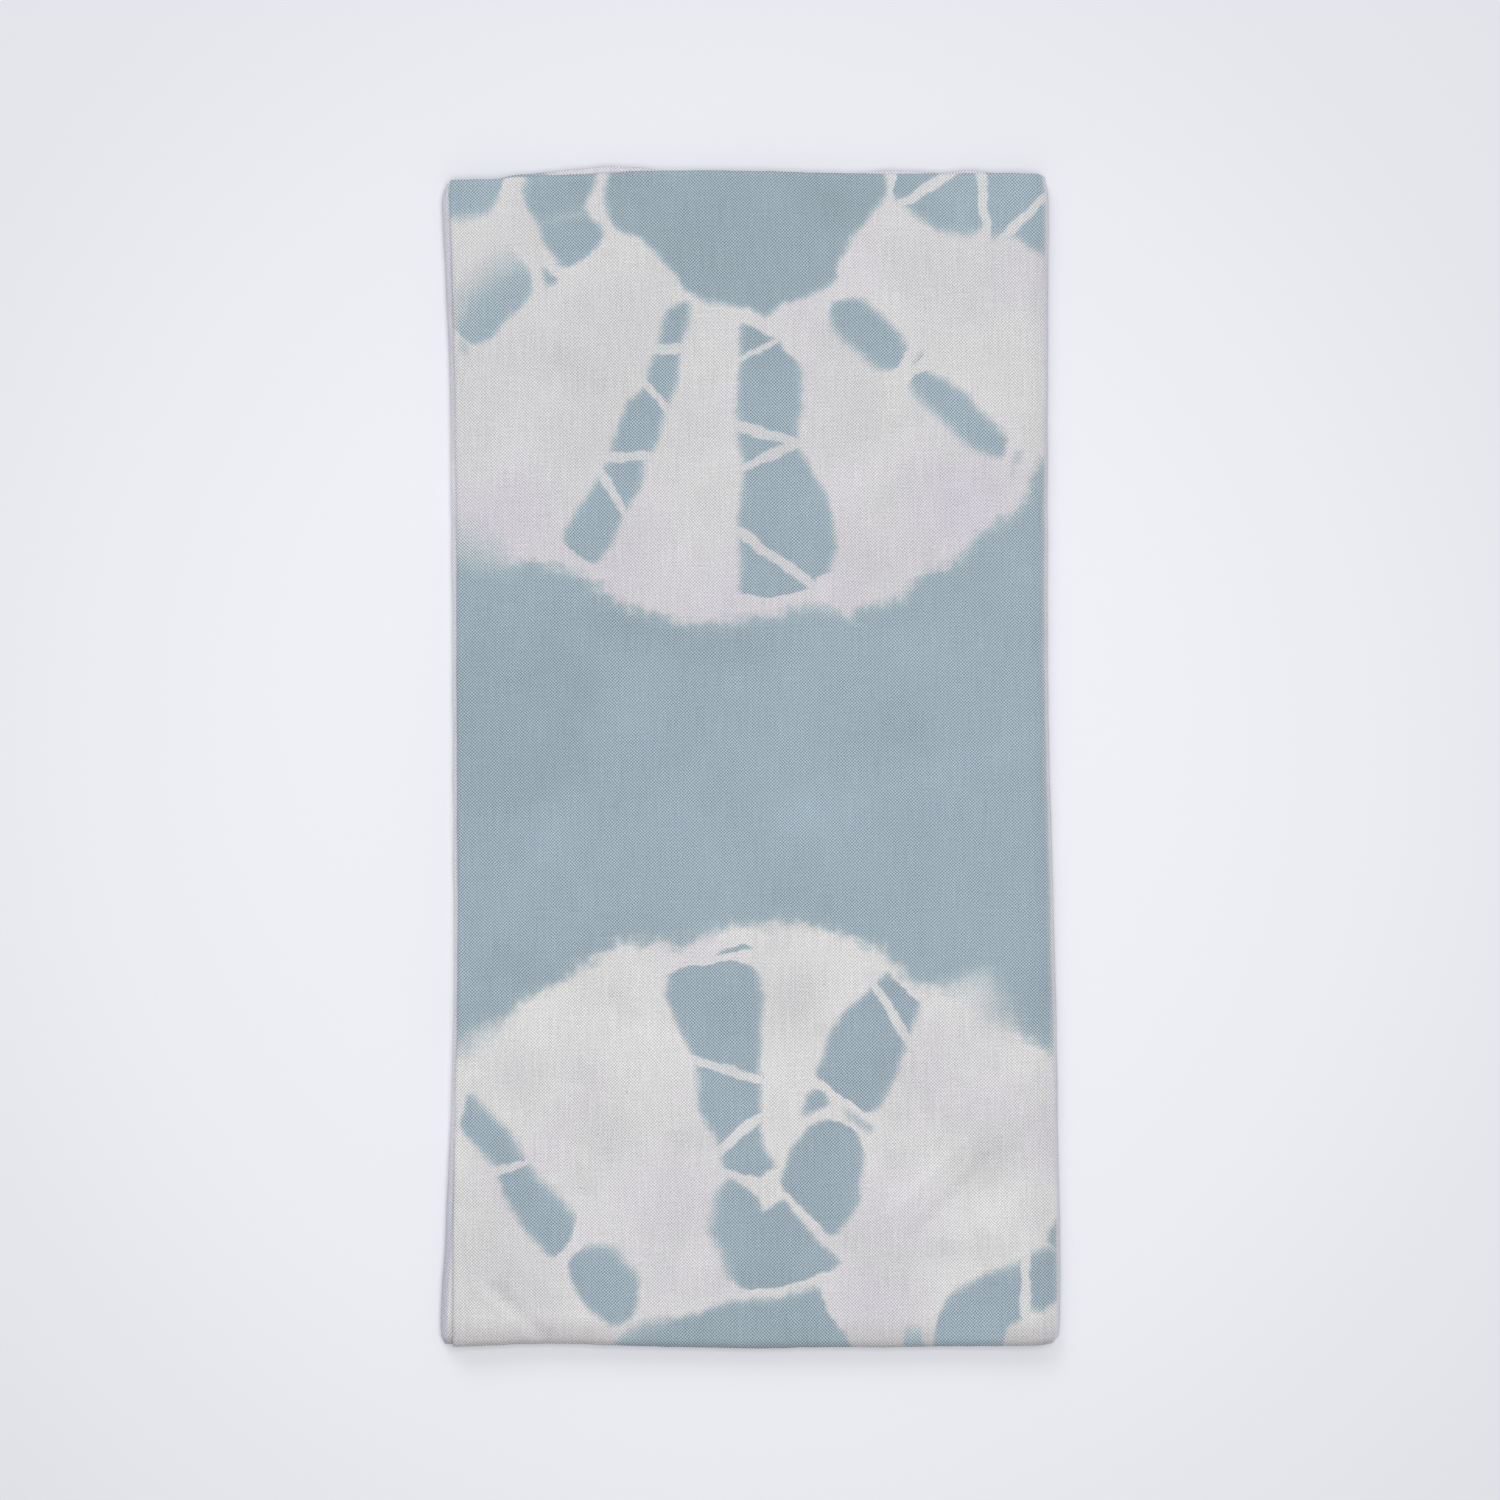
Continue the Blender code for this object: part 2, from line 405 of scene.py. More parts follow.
# The dye. The cloth was bound in a round flower on each of its woven edges and dyed once. Each flower has
# a dyed middle, an undyed ring crossed by spokes of dye, and the dyed ground outside it. Thin undyed lines
# cross the spokes where the thread was wound. Sizes are in millimetres, across from the middle of the top
# layer and up the cloth.
FLOWER_REPEAT = 1000 * CLOTH_LENGTH / 3
FLOWERS = {
    # across, up the cloth, and which way its spokes run
    "top": (-1.5, 329.0, -1),
    "bottom": (-2.4, 0.0, 1),
}

# The radius of each flower's ring, and of the dyed middle of the top flower, all round the half circle
# from its left, in degrees
TOP_RING = ((0, 125), (40, 127), (50, 128), (54, 126.5), (59, 125), (63, 121.8), (67, 120.5), (71, 123.5),
            (78, 126), (84, 127), (90, 125), (97.5, 122.5), (101, 123.5), (103.5, 127.5), (106, 126.5),
            (110, 126), (116, 122.5), (119.5, 123.5), (123, 119.5), (126, 121.5), (130, 119.5),
            (135, 116.5), (150, 116), (180, 122))
BOTTOM_RING = ((0, 114), (46, 114.5), (49, 116), (51.5, 113.5), (60, 115), (65, 114.5), (71, 117),
               (73, 118.5), (76, 116), (80, 113), (85, 115.5), (90, 117), (95, 118.5), (101, 118.5),
               (106, 117.5), (110, 116), (114, 113), (118, 112), (121, 117), (123.5, 121), (127, 118),
               (131, 117.5), (135, 119.5), (180, 117))
TOP_MIDDLE = ((0, 39), (10, 40.7), (17, 40.9), (24, 38.7), (32, 35), (41.5, 33.8), (54, 34.8), (64, 37.4),
              (69, 38.2), (80, 38), (92, 38.6), (98, 41.5), (107, 38.5), (115, 39.5), (131, 40),
              (137, 36.5), (150, 35.5), (166, 38.5), (172, 40.5), (180, 40))

# The runs of dye. Each starts at a place across and out from its flower's middle and heads off at an angle
# to the towel's height. Its sides are given as left and right at several distances out, and each thread
# line as out and across at two points, and a width. Fade is how soft its left and right sides are. The
# sides and the rings follow the outlines in the photo closely, read off enlargements of it.
# flower, name, across, out, heading, fade, sides (out, left, right),
# threads (out, across, out, across, width, fade)
RUNS = (
    ("top", "left corner", 0, 0, -90, (1, 1.6),
     ((68, -3, 0), (69.2, -3, 4), (70.8, -3, 7), (73.3, -3, 9.3), (76, -3, 10.6), (90, -3, 11.2)),
     ()),
    ("top", "left bud", -52, 0, 0, (1, 1),
     ((0, -10.5, 10.5), (3, -10.7, 9.7), (6.7, -10.4, 7.9), (9.2, -9, 7), (12, -7.3, 8.8),
      (14.5, -6.3, 11.2), (17, -5.7, 12.5), (20, -4.2, 10.8), (22.5, -2, 7.6), (25, -0.2, 4),
      (26, 1.8, 1.8)),
     ((12.6, -7, 10.6, 8, -2.6, 4.5),)),
    ("top", "left tip", -54.2, 24.2, -10, (1, 1),
     ((1.2, -2.6, -2.6), (2, -3.1, -1), (4.2, -2.5, 2.3), (5.5, -2, 1.6), (7.6, -0.9, -0.9)),
     ()),
    ("top", "left spoke", 0, 0, -64, (5.5, 1),
     ((65.8, -0.6, -0.6), (66.4, -5, 0), (67.2, -8, 1.6), (69, -9.5, 3.6), (78, -8.6, 6.4), (85, -6.8, 9.3),
      (88.5, -4.6, 8.5), (90.8, -1.6, 5.3), (91.8, 1.5, 1.5)),
     ()),
    ("top", "left dash", -80.4, 44, 17, (1.1, 1.1),
     ((0.2, 0, 0), (0.9, -0.5, 0.5), (2.6, -0.7, 0.7), (4.2, -0.6, 0.6), (5.3, 0, 0)),
     ()),
    ("top", "second spoke", 0, 0, -22, (1, 1),
     ((39.5, -1, -1), (41, -3.5, 0), (44, -6.5, 1), (51, -5.5, 1.5), (57, -4.5, 3), (60, -5, 4),
      (66, -4, 5), (72, -7, 5), (77, -7.5, 5.5), (86, -6, 4.5), (93, -6.5, 6), (98, -7.5, 5),
      (104, -9, 4.3), (112, -9.6, 4), (114.6, -9.5, 3.1), (116.2, -4, 2.3), (117.9, 1, 1)),
     ((54.9, -4.5, 53.0, 1.5, 3.0, 1), (64.9, -4.5, 68.9, 3, 2.2, 1), (87.8, -6, 84.1, 4, 2.6, 1),
      (93.4, -5.6, 99, 1.6, 2.2, 1))),
    ("top", "middle spoke", 0, 0, 0, (1, 1),
     ((42.5, 0, 0), (44, -2, 3), (48, -2, 10), (53, -1, 15), (57, -2, 16), (67, -2, 16.5), (74, -2, 14.5),
      (77, -1.5, 14), (80, -1, 17), (89, -1, 22.5), (97, -2, 25), (104, -2, 26), (112, -1.5, 25),
      (113.2, -1.6, 23.6), (114, -1.8, 20), (116, -2, 20), (117.2, -2, 17.5), (118.4, -1.5, 15),
      (119.2, 3, 9)),
     ((52.7, -1.5, 47.7, 9, 1.3, 1), (71.6, -1.4, 75, 11, 2.8, 1), (81.5, 3, 78.4, 10, 2.2, 1),
      (101.5, -1, 110.3, 11.3, 2.8, 1))),
    ("top", "fourth spoke", 0, 0, 43, (1.5, 1.2),
     ((43.5, -7, -7), (45, -10, -4), (49, -12, 0.5), (54, -12, 1.5), (61, -11, 1.5), (66, -10, 1.2),
      (68, -8.5, 0.3), (69.2, -6.5, -4.5), (69.6, -1, -3), (70.2, 1.8, 2.8), (71, 0.2, 2.8),
      (71.9, -1.8, 0.8), (72.4, -1, -3), (73.6, -2, -5), (74.4, -6.5, -4), (75.6, -7.2, 0), (80, -7.2, 2.5),
      (88, -6.8, 4.2), (98, -6, 4.2), (101, -5, 4.6), (105, -3.3, 4), (107, -1.2, 1)),
     ()),
    ("top", "far dash", 77.8, 76.4, -9, (1, 1),
     ((0, 0.3, 0.3), (0.8, -0.7, 1), (3, -0.9, 0.9), (4.6, -0.6, 0.3), (6.2, -0.3, 0)),
     ()),
    ("top", "right run", 0, 0, 90, (1.4, 1),
     ((42, -6, -6), (43, -8, 3), (46, -9.5, 3), (50, -13, 3), (54.5, -16.5, 3), (65, -16.5, 3),
      (67, -15, 3), (70, -17.2, 3), (74, -16.7, 3), (76.5, -17.2, 3), (83.5, -21.6, 3), (90, -23, 3)),
     ((55.8, -0.3, 44.5, -8, 2.8, 1), (66.9, 0, 68.4, -17, 2.3, 1), (84, -6.5, 74.5, -15.5, 2.2, 1))),
    ("bottom", "lowest left spoke", 0, 0, -52, (1, 1.5),
     ((29, -13, -13), (30.5, -17, -8), (33, -18.7, -4), (38, -19, -1.8), (43, -18, -0.6), (46, -17, -0.6),
      (49, -16, -2), (52.5, -12.5, -5.5), (53.8, -8.5, -9.5), (55.7, -8.5, -9.5), (57, -13, -5.5),
      (59, -13.5, -0.5), (64, -13, 1.5), (76, -10, 2.4), (79, -8.3, 3.5), (82, -6, 5), (86, -3, 6.5),
      (93, -2.3, 8.2), (100.5, -0.3, 9), (103.5, 5, 9.5), (105, 8, 8)),
     ((85, -3.5, 80.2, 3.1, 2.1, 1),)),
    ("bottom", "middle spoke", 0, 0, 0, (1, 1),
     ((46.5, 5, 5), (48, 1, 7), (50, -5, 9.5), (53, -6.3, 8), (57, -7, 6), (61, -9.5, 5.5),
      (65, -11.5, 5.5), (70, -12.5, 6), (75, -12.5, 5), (80, -13, 5), (88, -17.5, 6), (98, -21.5, 6.3),
      (104.5, -20.6, 4.4), (106.5, -15.5, 2.4), (107.3, -10, 0), (107.8, -2, -4), (108.6, -5, -7),
      (109.3, -7.2, -6.2), (110, -6.8, -4), (110.7, -5.8, 2.6), (111.6, -4, 3.4), (112.2, 0, 1.6),
      (112.6, 1, 1)),
     ((54.8, -6, 63.2, 4.2, 2.6, 1), (79.6, -12, 75, 3, 2.5, 1))),
    ("bottom", "left lobe", 0, 0, 0, (1.8, 1),
     ((15.7, 2, 2), (16.8, -1, 13), (18, -3.5, 16), (28, -7.3, 16), (31.4, -9.4, 14), (36, -9, 9),
      (38, -8.5, 6.5), (42, -7.8, 4.8), (45.5, -6, -0.5), (47, -3, -3)),
     ()),
    ("bottom", "right lobe", 0, 0, 0, (1, 1),
     ((15.8, 8, 8), (17, 2, 14), (19.1, 0, 21), (21.4, -1, 26), (23.4, -1, 28.2), (28, -2, 23.5),
      (34, 0, 18), (38, 6.5, 14.3), (39.5, 8.5, 12.7), (41.3, 11, 11)),
     ()),
    ("bottom", "fourth spoke", 0, 0, 24, (1, 1),
     ((38, 10, 10), (39.5, 7, 12), (44.5, -7, 13.5), (47, -9, 14), (51, -9.7, 14), (56, -10, 12.5),
      (64, -7.5, 10), (67.5, -4, 6), (69, 1, 1), (70, 2, 2), (73.8, 5, 5), (75.3, -3, 7.5),
      (77, -10.5, 8.5), (79.5, -12.5, 9), (89, -13, 9), (95.5, -12.2, 8.5), (100, -10.5, 8), (104.5, -8, 8),
      (108, -7, 7.5), (111.5, -6, -2), (113, -5, -5)),
     ((106.9, -5.5, 98.3, 6.8, 2.2, 1),)),
    ("bottom", "small bead", 0, 0, 24, (1, 1),
     ((65.5, -10, -10), (66.5, -11, -9), (71.5, -11.7, -5.5), (73.8, -10.3, -7), (74.6, -8.5, -8.5)),
     ()),
    ("bottom", "middle", -40, 0, 90, (1, 1),
     ((3, 0, 0), (8, -4, 4), (12, -6.8, 4), (29, -9.7, 4), (32.5, -11.7, 4), (36.5, -12.9, 4),
      (50.5, -13.6, 4), (60, -16.2, 4), (62, -15.5, 4), (65, -9.6, 4), (70.5, -2, 4), (72.5, 3, 4)),
     ()),
    ("bottom", "thin sliver", 28.5, 66, 125, (1, 1),
     ((0, 0, 0), (2, -0.7, 0.8), (7, -1.1, 1.2), (9.5, -1.2, 1), (10.5, 0, 0)),
     ()),
    ("bottom", "small foot", 0, 0, 90, (1.6, 1.6),
     ((45.8, -1, -1), (46.5, -5, 2), (50.3, -5, 2), (51.7, -1.5, 2), (52.4, 2, 2)),
     ()),
    ("bottom", "spot on the fold", 88.5, 25, 0, (1, 1),
     ((1.2, 0.6, 4), (1.7, -0.1, 8), (3.6, -2.3, 8), (5, -2, 8), (7.5, -1.2, 8), (10.4, 0.3, 8),
      (12, 2, 4)),
     ()),
    ("bottom", "right run", 0, 0, 90, (1.5, 1),
     ((53.5, 0, 0), (54.7, -4, 3), (56.2, -10, 3), (58.2, -13.6, 3), (65.8, -18.4, 3), (73, -21.5, 1),
      (75.7, -22, -5.1), (79.3, -23.5, -7.5), (82, -26.3, -9.6), (84.7, -27, -9.3), (88, -27, -11),
      (90, -27, -12)),
     ((80.3, -4, 80.3, -30, 2.6, 1),)),
)
RUN_REACH = 130.0
SIDE_REACH = 40.0
RING_REACH = 140.0
CORNER_ROUND = 1.2
SIDE_FADE = 2.8
RING_FADE = 5.0
MIDDLE_FADE = 2.4
# A little dye ran in under the threads, so no thread line is fully outside the dye
THREAD_BARE = 0.25


def add_node(tree, kind, *values, **settings):
    """A new node with its settings, and its first sockets set or linked in order."""
    made = tree.nodes.new("ShaderNode" + kind)
    for name, value in settings.items():
        setattr(made, name, value)
    for socket, value in zip(made.inputs, values):
        if isinstance(value, bpy.types.NodeSocket):
            tree.links.new(value, socket)
        elif value is not None:
            socket.default_value = value
    return made


def sum_node(tree, operation, *values):
    return add_node(tree, "Math", *values, operation=operation).outputs[0]


def vector_node(tree, operation, *values):
    made = add_node(tree, "VectorMath", *values, operation=operation)
    return made.outputs[1 if operation in ("DOT_PRODUCT", "LENGTH", "DISTANCE") else 0]


def range_node(tree, value, low, high, bottom=0.0, top=1.0):
    """A value read off between low and high, with a soft beginning and end."""
    made = add_node(tree, "MapRange", value, low, high, bottom, top, interpolation_type="SMOOTHSTEP")
    return made.outputs[0]


def spot_node(tree, place, across, up, start, end, bottom=0.0, top=1.0):
    """A value read off by the distance from one spot on the cloth, in millimetres."""
    distance = vector_node(tree, "DISTANCE", place, (across, up, 1))
    return range_node(tree, distance, start, end, bottom, top)


def noise_node(tree, place, size, detail=1.0, colour=False):
    """Noise on millimetres, 0 to 1, with blotches about the given size."""
    made = add_node(tree, "TexNoise", noise_dimensions="2D")
    tree.links.new(place, made.inputs["Vector"])
    made.inputs["Scale"].default_value = 1.0 / size
    made.inputs["Detail"].default_value = detail
    return made.outputs["Color" if colour else "Fac"]


def curve_node(tree, share, points, reach, height, base=0.0):
    """A drawn curve through points, read at a share of its reach."""
    made = add_node(tree, "FloatCurve", 1.0, share)
    curve = made.mapping.curves[0]
    places = [(out / reach, (value - base) / height) for out, value in points]
    while len(curve.points) < len(places):
        curve.points.new(0.5, 0.5)
    for point, (out, value) in zip(curve.points, places):
        point.location = (out, value)
        point.handle_type = "VECTOR"
    made.mapping.update()
    return made.outputs[0]


def new_group(name, inputs, outputs):
    """An empty shader group with its sockets, and its two end nodes."""
    group = bpy.data.node_groups.new(name, "ShaderNodeTree")
    for label, kind in inputs:
        group.interface.new_socket(label, in_out="INPUT", socket_type="NodeSocket" + kind)
    for label, kind in outputs:
        group.interface.new_socket(label, in_out="OUTPUT", socket_type="NodeSocket" + kind)
    return group, group.nodes.new("NodeGroupInput"), group.nodes.new("NodeGroupOutput")


def flower_axes(flower, across, out, heading):
    """What a place (x, y, 1) is multiplied with to give the distance out along a run, and across it."""
    middle_x, middle_y, way = FLOWERS[flower]
    x, y = middle_x + across, middle_y + way * out
    turn = radians(heading)
    along = Vector((sin(turn), way * cos(turn), -x * sin(turn) - way * y * cos(turn)))
    aside = Vector((cos(turn), -way * sin(turn), -x * cos(turn) + way * y * sin(turn)))
    return along, aside


def add_run(tree, place, run):
    """How far a place lies outside one run of dye, less than 0 inside it."""
    flower, _, across, out, heading, fade, sides, threads = run
    along, aside = flower_axes(flower, across, out, heading)
    middle = Vector((0, 0, SIDE_REACH))
    share = vector_node(tree, "DOT_PRODUCT", place, along / RUN_REACH)
    distances = []
    for sign, column in ((1, 1), (-1, 2)):
        offset = vector_node(tree, "DOT_PRODUCT", place, -sign * (aside + middle))
        widths = [(row[0], row[column]) for row in sides]
        side = curve_node(tree, share, widths, RUN_REACH, 2 * SIDE_REACH, -SIDE_REACH)
        distance = sum_node(tree, "MULTIPLY_ADD", side, sign * 2 * SIDE_REACH, offset)
        distance = sum_node(tree, "DIVIDE", distance, fade[column - 1] * SIDE_FADE)
        distances.append(distance)
    outside = sum_node(tree, "SMOOTH_MAX", *distances, CORNER_ROUND)
    for out_1, across_1, out_2, across_2, width, soft in threads:
        direction = Vector((out_2 - out_1, across_2 - across_1)).normalized()
        normal = along * direction.y - aside * direction.x
        normal.z -= out_1 * direction.y - across_1 * direction.x
        line = sum_node(tree, "ABSOLUTE", vector_node(tree, "DOT_PRODUCT", place, normal))
        line = sum_node(tree, "MULTIPLY_ADD", line, -1 / soft, width / 2 / soft)
        line = sum_node(tree, "MINIMUM", line, THREAD_BARE)
        outside = sum_node(tree, "SMOOTH_MAX", outside, line, CORNER_ROUND / 4)
    return outside


# Places where the dye fades out softly: across, up the cloth, radius and how soft
SOFT_PLACES = (
    (-80, 230, 12, 5),
    (-76, 224, 14, 3.5),
    (66, 98, 16, 4),
    (-76, 84, 12, 2),
    (-30, 6, 10, 1.5),
)
# Undyed places on the hidden layer, where its edge shows: across, up the cloth, radius
BARE_PLACES = ((-136, 334, 28), (-226, 334, 34))
# The share of such a place's radius that is fully bare
BARE_SHARE = 0.7
# Noise on the edges of the dye and of the rings: size and how far the edge strays
EDGE_WANDER = ((6.0, 0.9), (1.6, 0.35))
RING_WANDER = ((9.0, 2.0), (3.0, 1.8))
# How far outside or inside its edge the dye begins and is full, for whether it is there and for how deep
MASK_EDGE = (0.45, -0.45)
DEPTH_EDGE = (0.2, -0.95)

dye_group, dye_in, dye_out = new_group(
    "tie_dye", (("Vector", "Vector"),), (("Mask", "Float"), ("Depth", "Float"), ("Place", "Vector")))
scaled = vector_node(dye_group, "MULTIPLY", dye_in.outputs["Vector"], (1000, 1000, 0))
shifted = vector_node(dye_group, "ADD", scaled, (0, 0, 1))
half = FLOWER_REPEAT / 2
place = vector_node(dye_group, "WRAP", shifted, (half, 1000, 2), (-half, -1000, 0))
drawn = place
for size, amount in EDGE_WANDER:
    ripple = noise_node(dye_group, shifted, size, colour=True)
    wander = vector_node(dye_group, "SUBTRACT", ripple, (0.5, 0.5, 0.5))
    drawn = vector_node(dye_group, "MULTIPLY_ADD", wander, (2 * amount, 2 * amount, 0), drawn)
softness = None
for across, up, radius, soft in SOFT_PLACES:
    softer = spot_node(dye_group, place, across, up, radius, 0.0, 1.0 if softness is None else 0.0, soft)
    softness = softer if softness is None else sum_node(dye_group, "ADD", softness, softer)
ring_wander = -RING_WANDER[0][1]
for size, amount in RING_WANDER:
    ripple = noise_node(dye_group, shifted, size)
    ring_wander = sum_node(dye_group, "MULTIPLY_ADD", ripple, 2 * amount, ring_wander)
ring_wander = sum_node(dye_group, "SUBTRACT", ring_wander, RING_WANDER[1][1])
ground = None
outside = None
for flower, ring in (("top", TOP_RING), ("bottom", BOTTOM_RING)):
    along, aside = flower_axes(flower, 0, 0, 0)
    out = vector_node(dye_group, "DOT_PRODUCT", drawn, along)
    side = vector_node(dye_group, "DOT_PRODUCT", drawn, aside)
    angle = sum_node(dye_group, "MULTIPLY_ADD", sum_node(dye_group, "ARCTAN2", side, out), 1 / pi, 0.5)
    radius = vector_node(dye_group, "LENGTH", add_node(dye_group, "CombineXYZ", side, out).outputs[0])
    if flower == "top":
        edge = curve_node(dye_group, angle, TOP_MIDDLE, 180, RING_REACH)
        outside = sum_node(dye_group, "MULTIPLY_ADD", edge, -RING_REACH, radius)
        outside = sum_node(dye_group, "DIVIDE", outside, MIDDLE_FADE)
    edge = curve_node(dye_group, angle, ring, 180, RING_REACH)
    inside = sum_node(dye_group, "MULTIPLY_ADD", edge, RING_REACH, ring_wander)
    inside = sum_node(dye_group, "SUBTRACT", inside, radius)
    ground = inside if ground is None else sum_node(dye_group, "MAXIMUM", ground, inside)
outside = sum_node(dye_group, "MINIMUM", outside, sum_node(dye_group, "DIVIDE", ground, RING_FADE))
for run in RUNS:
    outside = sum_node(dye_group, "MINIMUM", outside, add_run(dye_group, drawn, run))
outside = sum_node(dye_group, "DIVIDE", outside, softness)
dyed_share = range_node(dye_group, outside, *MASK_EDGE)
for across, up, radius in BARE_PLACES:
    away = spot_node(dye_group, shifted, across, up, BARE_SHARE * radius, radius)
    dyed_share = sum_node(dye_group, "MULTIPLY", dyed_share, away)
dye_group.links.new(dyed_share, dye_out.inputs["Mask"])
dye_group.links.new(range_node(dye_group, outside, *DEPTH_EDGE), dye_out.inputs["Depth"])
dye_group.links.new(shifted, dye_out.inputs["Place"])


def screen_colour(red, green, blue):
    """A colour as a screen's 0 to 255 values, in Blender's linear values."""
    parts = [value / 255 for value in (red, green, blue)]
    return (*(part / 12.92 if part <= 0.04045 else ((part + 0.055) / 1.055) ** 2.4 for part in parts), 1.0)


def mix_node(tree, share, first, second, blend="MIX"):
    made = tree.nodes.new("ShaderNodeMix")
    made.data_type = "RGBA"
    made.blend_type = blend
    for index, value in ((0, share), (6, first), (7, second)):
        if isinstance(value, bpy.types.NodeSocket):
            tree.links.new(value, made.inputs[index])
        else:
            made.inputs[index].default_value = value
    return made.outputs[2]


# The weave: plain, about 23 threads to the centimetre each way, with uneven threads. Its tone is 0.5 on
# average.
THREAD = 0.44
# Noise that bends the threads: size and how far they stray
THREAD_WANDER = (2.6, 0.34)
# Streaks of thicker and thinner thread: length across and up the cloth, and share of the whole
STREAKS = ((0.5, 12, 0.26), (9, 0.5, 0.18), (0.5, 0.55, 0.56))
weave_group, weave_in, weave_out = new_group(
    "plain_weave", (("Place", "Vector"),), (("Tone", "Float"), ("Streaks", "Float"), ("Height", "Float")))
woven_place = weave_in.outputs["Place"]
size, amount = THREAD_WANDER
wave = noise_node(weave_group, woven_place, size, colour=True)
wave = vector_node(weave_group, "SUBTRACT", wave, (0.5, 0.5, 0.5))
threads = vector_node(weave_group, "MULTIPLY_ADD", wave, (amount, amount, 0), woven_place)
threads = vector_node(weave_group, "MULTIPLY", threads, (pi / THREAD, pi / THREAD, 0))
crests = add_node(weave_group, "SeparateXYZ", vector_node(weave_group, "SINE", threads))
checks = sum_node(weave_group, "MULTIPLY", crests.outputs[0], crests.outputs[1])
weave_group.links.new(sum_node(weave_group, "MULTIPLY_ADD", checks, 0.5, 0.5), weave_out.inputs["Tone"])
streaks = None
for long_across, long_up, share in STREAKS:
    drawn_out = vector_node(weave_group, "MULTIPLY", woven_place, (1 / long_across, 1 / long_up, 0))
    streak = noise_node(weave_group, drawn_out, 1.0)
    streaks = sum_node(weave_group, "MULTIPLY_ADD", streak, share, 0.0 if streaks is None else streaks)
weave_group.links.new(streaks, weave_out.inputs["Streaks"])
height = sum_node(weave_group, "ADD", sum_node(weave_group, "ABSOLUTE", checks), streaks)
weave_group.links.new(height, weave_out.inputs["Height"])

UNDYED_CREAM = screen_colour(209, 208, 209)
# Painted light on the undyed cloth of the lower part
UNDYED_LOWER_PAINTED_LIGHT = screen_colour(216, 215, 215)
UNDYED_GREY = screen_colour(203, 203, 205)
UNDYED_LAVENDER = screen_colour(202, 198, 207)
# The bare folds: undyed cloth with painted light, paler on the left fold, and painted shade towards the left
# fold's ends
RIGHT_FOLD_WITH_PAINTED_LIGHT = screen_colour(209, 208, 217)
LEFT_FOLD_WITH_PAINTED_LIGHT = screen_colour(222, 221, 230)
LEFT_FOLD_ENDS_PAINTED_SHADE = screen_colour(187, 188, 199)
# Painted shade along the low woven edge
LOW_EDGE_PAINTED_SHADE = screen_colour(192, 190, 192)
DYE_EDGE = screen_colour(168, 182, 188)
DYE_BLUE = screen_colour(154, 170, 181)
DYE_DEEP = screen_colour(149, 165, 175)
# Painted shade at the low woven edge, and painted light at the high one
LOW_EDGE_SHADE_TONE = 0.89
HIGH_EDGE_LIGHT_TONE = 1.12
FLECK_TONE = 0.62
# Painted shade in the creases
CREASE_SHADE_TONE = 0.15
# How much the threads show where the cloth is undyed, and how much more where it is dyed
THREAD_TONE = 0.68
THREAD_TONE_DYED = 0.64
STREAK_TONE = 0.70
CLOUD_SIZE = 26.0
CLOUD_TONE = 0.16
WEAVE_DEPTH = 0.00006
COTTON_ROUGHNESS = 0.9
COTTON_SHINE = 0.25
FUZZ = 0.15
FUZZ_ROUGHNESS = 0.6

# Blotches of the lavender and grey casts: size, noise where they begin and are full, and the most they take
LAVENDER_DRIFT = (40.0, 0.40, 0.80, 0.6)
GREY_DRIFT = (17.0, 0.50, 0.72, 0.6)
# Where up the cloth a colour or tone begins and is full
LOWER_LIGHT_PART = (200.0, 100.0)
LOW_EDGE_SHADE_COLOUR_PART = (9.0, 1.5)
LOW_EDGE_SHADE_PART = (0.3, 3.2)
HIGH_EDGE_LIGHT_PART = (328.2, 329.8)
# Where the painted shade on the left fold's two ends begins and is full, and how much of it the high end
# takes
FOLD_LOW_SHADE_END = (80.0, 20.0)
FOLD_HIGH_SHADE_END = (225.0, 300.0)
FOLD_HIGH_SHADE_SHARE = 0.6
# How far across from the top layer's middle the bare cloth turns from the right fold's colour to the left
# fold's, which is painted with more light
LEFT_FOLD_PART = (120.0, 200.0)

# Where the undyed cloth has a lavender cast: across, up the cloth, radius, share
LAVENDER_PLACES = ((-70, 236, 36, 0.9), (-40, 222, 30, 0.9), (-6, 208, 30, 0.8), (30, 212, 28, 0.9),
                   (60, 236, 34, 1.0), (-22, 40, 34, 0.6), (38, 34, 34, 0.6), (-66, 168, 20, 0.5),
                   (35, 13, 26, 0.8), (-26, 20, 20, 0.6))
# Where it is greyer
GREY_PLACES = ((-66, 280, 44), (-34, 290, 34), (56, 302, 26), (30, 262, 20), (-74, 22, 24), (-40, 58, 14),
               (-16, 262, 22), (-50, 254, 26), (27, 280, 11), (49, 264, 12), (58, 254, 10), (-12, 236, 15),
               (-67, 318, 20), (-76, 253, 18), (12, 98, 16), (-66, 76, 16), (66, 54, 18), (72, 92, 14),
               (-50, 241, 14))
# Where the dye is deepest: across, up the cloth, radius, and then the share of that radius at full depth
DEEP_PLACES = ((-1.5, 322, 60), (-6, -14, 42), (-68, 176, 34))
DEEP_SHARE = 0.6
# Specks of darker fibre: the share of the radius that is darkest, and then across, up the cloth, radius
FLECK_CORE = 0.4
FLECKS = ((21.0, 101.2, 0.35), (-34.9, 71.3, 0.35), (-43.1, 59.5, 0.3), (-47.9, 44.5, 0.35),
          (-64.0, 52.4, 0.4), (45.6, 91.9, 0.3), (3.8, 75.2, 0.3), (54.4, 217.1, 0.35), (-79.2, 322.2, 0.4))

